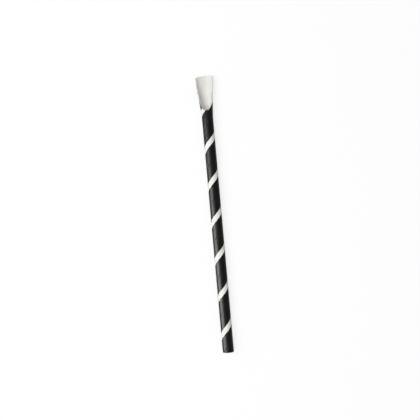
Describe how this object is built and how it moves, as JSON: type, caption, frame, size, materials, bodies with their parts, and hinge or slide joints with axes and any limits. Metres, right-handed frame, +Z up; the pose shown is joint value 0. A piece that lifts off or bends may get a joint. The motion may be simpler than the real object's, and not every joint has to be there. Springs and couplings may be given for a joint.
{
  "type": "spoon straw",
  "caption": "Paper drinking straw with a spoon end: a wound tube, slotted and opened out at one end into a shallow scoop, black outside with a white spiral stripe and a plain white inside.",
  "frame": {"origin": "middle of the straw's length and width, on the surface that its back lies on", "axes": "+Y along the straw towards the tip of the scoop, +Z up out of the scoop's open side, X across"},
  "size_m": [0.0126, 0.197, 0.008],
  "materials": {
    "printed_paper": "wound white paper, printed black with a white spiral stripe outside, uncoated white inside and on the cut edges"
  },
  "bodies": {
    "root": {"straw": "printed_paper"}
  },
  "joints": []
}
